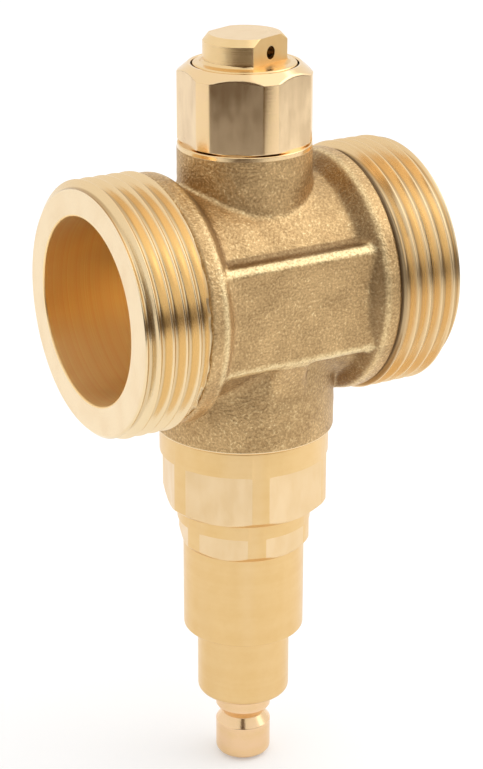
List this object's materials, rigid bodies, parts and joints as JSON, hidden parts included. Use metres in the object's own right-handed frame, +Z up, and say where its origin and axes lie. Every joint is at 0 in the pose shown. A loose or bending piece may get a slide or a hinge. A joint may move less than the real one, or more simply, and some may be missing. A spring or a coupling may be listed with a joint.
{
  "type": "anti-freeze valve",
  "caption": "Brass anti-freeze valve: threaded pipe tee body with a vacuum breaker on top and a wax-driven drain cartridge with a sliding knobbed stem below.",
  "frame": {"origin": "where the pipe's axis crosses the common axis of the upper and lower boss, midway between the port faces", "axes": "+X along the pipe, +Z up along the boss axis, -Y towards the flat pad seen in the picture"},
  "size_m": [0.0582, 0.0418, 0.129],
  "materials": {
    "forged_brass": "hot-forged and blasted, machined ports and boss face",
    "turned_brass": "turned and milled, satin bright",
    "inner_brass": "turned",
    "stainless_steel": "drawn wire and stamped sheet",
    "seal_rubber": "moulded, matte"
  },
  "bodies": {
    "valve": {"valve_body": "forged_brass", "breaker_housing": "turned_brass", "breaker_cap": "turned_brass", "cartridge_adapter": "turned_brass", "drain_housing": "turned_brass", "capsule_guide": "inner_brass", "breaker_retainer": "inner_brass", "breaker_spring": "stainless_steel", "overtravel_spring": "stainless_steel", "return_spring": "stainless_steel", "retaining_ring": "stainless_steel", "spring_washer": "stainless_steel", "cap_gasket": "seal_rubber", "breaker_o_ring": "seal_rubber", "adapter_o_ring": "seal_rubber", "housing_o_ring": "seal_rubber"},
    "air_poppet": {"breaker_poppet": "inner_brass", "breaker_poppet_seal": "seal_rubber"},
    "capsule": {"wax_capsule": "inner_brass"},
    "drain_plunger": {"capsule_piston": "stainless_steel", "drain_poppet": "inner_brass", "drain_poppet_seal": "seal_rubber", "drain_stem": "turned_brass"}
  },
  "joints": [
    {"name": "air_poppet_slide", "type": "slide", "parent": "valve", "child": "air_poppet", "axis": [0, 0, -1], "range_m": [0, 0.002], "stiffness_N_per_m": 60, "springref_m": -0.004, "deforming": ["breaker_spring"]},
    {"name": "capsule_overtravel", "type": "slide", "parent": "valve", "child": "capsule", "axis": [0, 0, 1], "range_m": [0, 0.0015], "stiffness_N_per_m": 2000, "springref_m": -0.003, "deforming": ["overtravel_spring"]},
    {"name": "drain_plunger_slide", "type": "slide", "parent": "valve", "child": "drain_plunger", "axis": [0, 0, 1], "range_m": [0, 0.0025], "stiffness_N_per_m": 800, "springref_m": -0.004, "deforming": ["return_spring"]}
  ]
}
